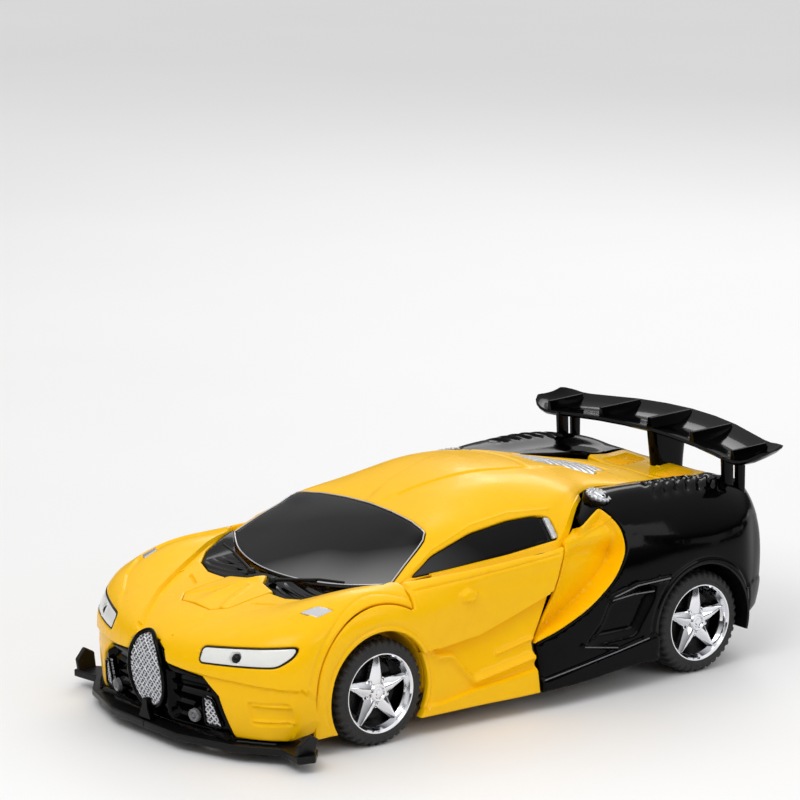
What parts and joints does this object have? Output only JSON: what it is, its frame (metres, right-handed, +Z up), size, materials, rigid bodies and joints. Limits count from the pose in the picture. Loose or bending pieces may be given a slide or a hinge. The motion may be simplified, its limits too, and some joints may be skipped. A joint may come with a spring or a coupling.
{
  "type": "transforming robot car",
  "caption": "Toy sports car that stands up into a robot: the body folds out from under the shell, the fenders swing out as arms and the cabin becomes its back.",
  "frame": {"origin": "on the ground under the middle of the car's length and width, as a car", "axes": "+Z up; the car's front points to -Y; +X is the car's left side"},
  "size_m": [0.122, 0.221, 0.072],
  "materials": {
    "yellow_shell": "glossy warm yellow ABS",
    "yellow_inner": "satin yellow ABS",
    "black_gloss": "gloss black ABS",
    "black_satin": "satin black ABS",
    "silver_paint": "silver paint on plastic",
    "chrome_rim": "vacuum-plated chrome",
    "tyre_rubber": "black rubber with tread",
    "roller_rubber": "hard black rubber",
    "window_black": "smoked black glazing",
    "lamp_white": "pearl white lens",
    "lamp_red": "red lens",
    "gear_nylon": "white nylon",
    "steel": "zinc-plated steel",
    "battery_wrap": "blue shrink wrap",
    "board_green": "green solder mask"
  },
  "bodies": {
    "base": {"base_chassis": "black_satin", "base_deck": "black_satin", "battery_pack": "battery_wrap", "battery_cover": "black_satin", "circuit_board": "board_green", "lift_motor": "steel", "drive_motors": "steel", "quarter_left": "black_gloss", "quarter_right": "black_gloss", "side_curve_left": "yellow_shell", "side_curve_right": "yellow_shell", "rear_deck": "yellow_shell", "tail_lights": "lamp_red", "spoiler": "black_gloss", "intake_caps": "silver_paint", "boots": "silver_paint", "lift_hinge_pin": "steel", "cabin_hinge_pin": "steel", "case_screws": "steel"},
    "power_switch": {"power_switch": "black_satin"},
    "lift_pinion": {"lift_pinion": "gear_nylon"},
    "motor_pinion_left": {"motor_pinion_left": "gear_nylon"},
    "motor_pinion_right": {"motor_pinion_right": "gear_nylon"},
    "foot_rollers": {"foot_rollers": "roller_rubber"},
    "rear_wheel_left": {"rear_axle_left": "steel", "rear_tyre_left": "tyre_rubber", "rear_rim_left": "chrome_rim"},
    "rear_wheel_right": {"rear_axle_right": "steel", "rear_tyre_right": "tyre_rubber", "rear_rim_right": "chrome_rim"},
    "torso": {"torso_frame": "black_satin", "chest_plate": "silver_paint", "chest_inlay": "yellow_inner", "waist_plate": "silver_paint", "waist_inlay": "yellow_inner", "thigh_inlays": "yellow_inner", "lift_gear": "gear_nylon"},
    "sync_links": {"sync_links": "black_satin"},
    "cabin": {"cabin_shell": "yellow_shell", "cabin_glass": "window_black", "cabin_bracket": "black_satin", "roof_vent": "silver_paint"},
    "front_clip": {"front_clip": "yellow_shell", "bumper_insert": "black_gloss", "grille_meshes": "silver_paint", "splitter": "black_satin", "headlights": "lamp_white", "clip_hinge_pin": "steel", "lever_screws": "steel"},
    "head": {"head": "black_gloss"},
    "lever_left": {"arm_lever_left": "black_satin"},
    "lever_right": {"arm_lever_right": "black_satin"},
    "arm_left": {"fender_door_left": "yellow_shell", "wheel_well_left": "yellow_inner"},
    "arm_right": {"fender_door_right": "yellow_shell", "wheel_well_right": "yellow_inner"},
    "front_wheel_left": {"front_tyre_left": "tyre_rubber", "front_rim_left": "chrome_rim"},
    "front_wheel_right": {"front_tyre_right": "tyre_rubber", "front_rim_right": "chrome_rim"}
  },
  "joints": [
    {"name": "transform", "type": "hinge", "parent": "base", "child": "torso", "pos_m": [0, 0.0295, 0.03], "axis": [-1, 0, 0], "range_deg": [0, 90]},
    {"name": "clip_level", "type": "hinge", "parent": "torso", "child": "front_clip", "pos_m": [0, -0.096, 0.012], "axis": [1, 0, 0], "range_deg": [0, 90]},
    {"name": "cabin_lift", "type": "hinge", "parent": "base", "child": "cabin", "pos_m": [0, 0.0735, 0.05025], "axis": [-1, 0, 0], "range_deg": [0, 90]},
    {"name": "link_swing", "type": "hinge", "parent": "torso", "child": "sync_links", "pos_m": [0, -0.0125, 0.024], "axis": [1, 0, 0], "range_deg": [0, 90]},
    {"name": "head_rise", "type": "slide", "parent": "front_clip", "child": "head", "axis": [0, 0, 1], "range_m": [0, 0.026]},
    {"name": "lever_left", "type": "hinge", "parent": "front_clip", "child": "lever_left", "pos_m": [0.03, -0.0778, 0.0276], "axis": [0, 0, -1], "range_deg": [0, 118]},
    {"name": "arm_left", "type": "hinge", "parent": "lever_left", "child": "arm_left", "pos_m": [0.01474, -0.0491, 0.0276], "axis": [0, 0, 1], "range_deg": [0, 118]},
    {"name": "lever_right", "type": "hinge", "parent": "front_clip", "child": "lever_right", "pos_m": [-0.03, -0.0778, 0.0276], "axis": [0, 0, 1], "range_deg": [0, 118]},
    {"name": "arm_right", "type": "hinge", "parent": "lever_right", "child": "arm_right", "pos_m": [-0.01474, -0.0491, 0.0276], "axis": [0, 0, -1], "range_deg": [0, 118]},
    {"name": "front_wheel_left", "type": "hinge", "parent": "arm_left", "child": "front_wheel_left", "pos_m": [0.0435, -0.059, 0.0165], "axis": [1, 0, 0], "continuous": true},
    {"name": "rear_wheel_left", "type": "hinge", "parent": "base", "child": "rear_wheel_left", "pos_m": [0.0435, 0.069, 0.0165], "axis": [1, 0, 0], "continuous": true},
    {"name": "motor_pinion_left", "type": "hinge", "parent": "base", "child": "motor_pinion_left", "pos_m": [0.028, 0.086, 0.0165], "axis": [1, 0, 0], "continuous": true},
    {"name": "front_wheel_right", "type": "hinge", "parent": "arm_right", "child": "front_wheel_right", "pos_m": [-0.0435, -0.059, 0.0165], "axis": [1, 0, 0], "continuous": true},
    {"name": "rear_wheel_right", "type": "hinge", "parent": "base", "child": "rear_wheel_right", "pos_m": [-0.0435, 0.069, 0.0165], "axis": [1, 0, 0], "continuous": true},
    {"name": "motor_pinion_right", "type": "hinge", "parent": "base", "child": "motor_pinion_right", "pos_m": [-0.028, 0.086, 0.0165], "axis": [1, 0, 0], "continuous": true},
    {"name": "lift_pinion", "type": "hinge", "parent": "base", "child": "lift_pinion", "pos_m": [0, 0.04972, 0.0153], "axis": [1, 0, 0], "range_deg": [0, 360]},
    {"name": "foot_rollers", "type": "hinge", "parent": "base", "child": "foot_rollers", "pos_m": [0, 0.0105, 0.005], "axis": [1, 0, 0], "continuous": true},
    {"name": "power_switch", "type": "slide", "parent": "base", "child": "power_switch", "axis": [0, 1, 0], "range_m": [0, 0.0024]}
  ],
  "couplings": [
    {"joint": "clip_level", "follows": "transform", "ratio": 1},
    {"joint": "cabin_lift", "follows": "transform", "ratio": 1},
    {"joint": "link_swing", "follows": "transform", "ratio": 1},
    {"joint": "head_rise", "follows": "transform", "m_per_rad": 0.016552},
    {"joint": "lever_left", "follows": "transform", "ratio": 1.3111},
    {"joint": "arm_left", "follows": "transform", "ratio": 1.3111},
    {"joint": "lever_right", "follows": "transform", "ratio": 1.3111},
    {"joint": "arm_right", "follows": "transform", "ratio": 1.3111},
    {"joint": "lift_pinion", "follows": "transform", "ratio": 4},
    {"joint": "motor_pinion_left", "follows": "rear_wheel_left", "ratio": -2.4},
    {"joint": "motor_pinion_right", "follows": "rear_wheel_right", "ratio": -2.4}
  ]
}
